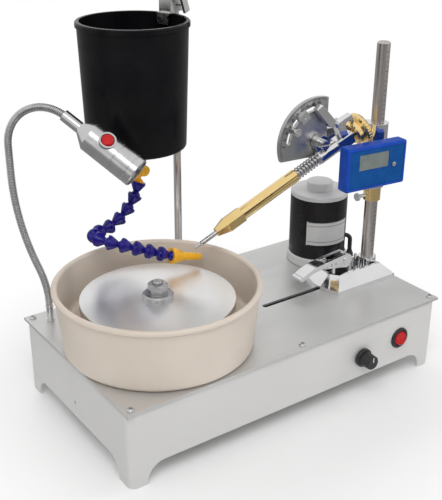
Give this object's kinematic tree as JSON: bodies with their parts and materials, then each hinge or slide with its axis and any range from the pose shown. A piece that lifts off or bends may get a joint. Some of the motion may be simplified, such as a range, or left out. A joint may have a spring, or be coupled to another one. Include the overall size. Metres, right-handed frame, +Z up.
{
  "type": "gem faceting machine",
  "caption": "Bench faceting machine: a flat lap in a splash bowl on a low case, a mast with a tilting quill and readout, a drip bucket with a jointed hose, and a gooseneck lamp.",
  "frame": {"origin": "middle of the case's footprint, on the plane its feet stand on", "axes": "+Z up, +X along the case from the bowl towards the mast, +Y from the front panel to the back"},
  "size_m": [0.3953, 0.2556, 0.41],
  "materials": {
    "case_paint": "satin powder coat",
    "plate_aluminium": "satin sheet",
    "screw_steel": "zinc-plated",
    "bowl_plastic": "satin moulded",
    "lap_aluminium": "fine turned",
    "bright_steel": "machined",
    "chrome": "polished",
    "brass": "turned",
    "black_plastic": "satin",
    "bucket_plastic": "semi-gloss",
    "motor_black": "gloss",
    "motor_grey": "satin",
    "belt_rubber": "matte",
    "cable_rubber": "matte",
    "board_green": "circuit board",
    "supply_metal": "folded sheet",
    "red_plastic": "translucent red",
    "hose_blue": "glossy",
    "nozzle_orange": "glossy",
    "gauge_blue": "glossy",
    "lamp_aluminium": "brushed",
    "lens_glass": "clear"
  },
  "bodies": {
    "case": {"base_housing": "case_paint", "bottom_cover": "case_paint", "top_plate": "plate_aluminium", "case_screws": "screw_steel", "splash_bowl": "bowl_plastic", "spindle_housing": "bright_steel", "spindle_bearings": "bright_steel", "motor_end_bells": "motor_grey", "motor_body": "motor_black", "motor_cable": "cable_rubber", "drive_belt": "belt_rubber", "power_supply": "supply_metal", "speed_control": "board_green", "switch_body": "black_plastic", "mains_inlet": "black_plastic", "bucket_rod": "chrome", "rod_nuts": "screw_steel", "gooseneck": "chrome"},
    "lap": {"lap_spindle": "bright_steel", "lap_disc": "lap_aluminium", "lap_nut": "bright_steel", "spindle_pulley": "supply_metal"},
    "rotor": {"motor_shaft": "bright_steel", "motor_pulley": "supply_metal"},
    "knob": {"speed_knob": "black_plastic"},
    "power_rocker": {"switch_rocker": "red_plastic"},
    "carriage": {"mast_base": "chrome", "mast": "chrome", "clamp_stud": "black_plastic"},
    "cam_lever": {"clamp_lever": "chrome"},
    "collar": {"stop_collar": "brass"},
    "thumb_screw": {"collar_screw": "chrome"},
    "head": {"head_sleeve": "chrome", "head_arm": "chrome", "protractor": "chrome", "pivot_bolt": "bright_steel", "pivot_bush": "brass", "gauge_case": "gauge_blue"},
    "button": {"gauge_button": "chrome"},
    "stop": {"angle_stop": "chrome"},
    "quill": {"quill_block": "chrome"},
    "trigger": {"index_lever": "chrome"},
    "spin": {"quill_spindle": "bright_steel", "index_wheel": "brass", "quill_spring": "bright_steel", "quill_tube": "brass", "collet_nut": "brass", "dop_stick": "bright_steel"},
    "bucket_group": {"bucket_hanger": "bright_steel", "bucket": "bucket_plastic", "valve_body": "nozzle_orange", "valve_nut": "nozzle_orange"},
    "tap": {"valve_handle": "nozzle_orange"},
    "hose_a": {"hose_upper": "hose_blue"},
    "hose_b": {"hose_lower": "hose_blue"},
    "drip": {"nozzle": "nozzle_orange"},
    "lamp": {"lamp_head": "lamp_aluminium", "lamp_lens": "lens_glass"},
    "lamp_switch": {"lamp_rocker": "red_plastic"}
  },
  "joints": [
    {"name": "lap_spin", "type": "hinge", "parent": "case", "child": "lap", "pos_m": [-0.1033, -0.0138, 0.12], "axis": [0, 0, 1], "continuous": true},
    {"name": "motor_spin", "type": "hinge", "parent": "case", "child": "rotor", "pos_m": [0.152, 0.048, 0.1], "axis": [0, 0, 1], "continuous": true},
    {"name": "speed_turn", "type": "hinge", "parent": "case", "child": "knob", "pos_m": [0.083, -0.1045, 0.045], "axis": [0, -1, 0], "range_deg": [-150, 150]},
    {"name": "power_switch", "type": "hinge", "parent": "case", "child": "power_rocker", "pos_m": [0.138, -0.1045, 0.0485], "axis": [1, 0, 0], "range_deg": [0, 18]},
    {"name": "carriage_slide", "type": "slide", "parent": "case", "child": "carriage", "axis": [1, 0, 0], "range_m": [-0.03, 0]},
    {"name": "clamp_swing", "type": "hinge", "parent": "carriage", "child": "cam_lever", "pos_m": [0.134, -0.015, 0.108], "axis": [0, 1, 0], "range_deg": [0, 85]},
    {"name": "height_slide", "type": "slide", "parent": "carriage", "child": "collar", "axis": [0, 0, 1], "range_m": [0, 0.06]},
    {"name": "collar_grip", "type": "hinge", "parent": "collar", "child": "thumb_screw", "pos_m": [0.172, -0.015, 0.177], "axis": [-1, 0, 0], "range_deg": [0, 180]},
    {"name": "head_swivel", "type": "hinge", "parent": "collar", "child": "head", "pos_m": [0.172, -0.015, 0.186], "axis": [0, 0, 1], "range_deg": [0, 18]},
    {"name": "button_press", "type": "slide", "parent": "head", "child": "button", "axis": [0.0958, 0.9954, 0], "range_m": [0, 0.001], "stiffness_N_per_m": 300},
    {"name": "stop_set", "type": "hinge", "parent": "head", "child": "stop", "pos_m": [0.10073, -0.00814, 0.2443], "axis": [-0.0958, -0.9954, 0], "range_deg": [0, 18]},
    {"name": "quill_tilt", "type": "hinge", "parent": "head", "child": "quill", "pos_m": [0.10073, -0.00814, 0.2443], "axis": [-0.0958, -0.9954, 0], "range_deg": [-25, 0]},
    {"name": "index_release", "type": "hinge", "parent": "quill", "child": "trigger", "pos_m": [0.11955, -0.00995, 0.26245], "axis": [-0.0958, -0.9954, 0], "range_deg": [0, 10], "stiffness_Nm_per_rad": 0.2},
    {"name": "quill_turn", "type": "hinge", "parent": "quill", "child": "spin", "pos_m": [0.10611, -0.00865, 0.23303], "axis": [-0.8977, 0.0864, -0.4321], "continuous": true},
    {"name": "bucket_height", "type": "slide", "parent": "case", "child": "bucket_group", "axis": [0, 0, 1], "range_m": [0, 0.015]},
    {"name": "valve_turn", "type": "hinge", "parent": "bucket_group", "child": "tap", "pos_m": [-0.068, 0.066, 0.227], "axis": [0, 1, 0], "range_deg": [-90, 0]},
    {"name": "hose_swing", "type": "hinge", "parent": "bucket_group", "child": "hose_a", "pos_m": [-0.068, 0.078, 0.21], "axis": [0, 0, 1], "range_deg": [0, 4]},
    {"name": "hose_bend", "type": "hinge", "parent": "hose_a", "child": "hose_b", "pos_m": [-0.11605, 0.07637, 0.16837], "axis": [0, 0, 1], "range_deg": [0, 3]},
    {"name": "nozzle_tilt", "type": "hinge", "parent": "hose_b", "child": "drip", "pos_m": [-0.06292, 0.02358, 0.14821], "axis": [-0.0872, -0.9962, 0], "range_deg": [0, 12]},
    {"name": "lamp_tilt", "type": "hinge", "parent": "case", "child": "lamp", "pos_m": [-0.15205, 0.05754, 0.29723], "axis": [-0.809, -0.5878, 0], "range_deg": [0, 12]},
    {"name": "lamp_press", "type": "hinge", "parent": "lamp", "child": "lamp_switch", "pos_m": [-0.13264, 0.0175, 0.28169], "axis": [0.8545, 0.2343, 0.4636], "range_deg": [0, 18]}
  ],
  "couplings": [
    {"joint": "motor_spin", "follows": "lap_spin", "ratio": 2.4583}
  ]
}
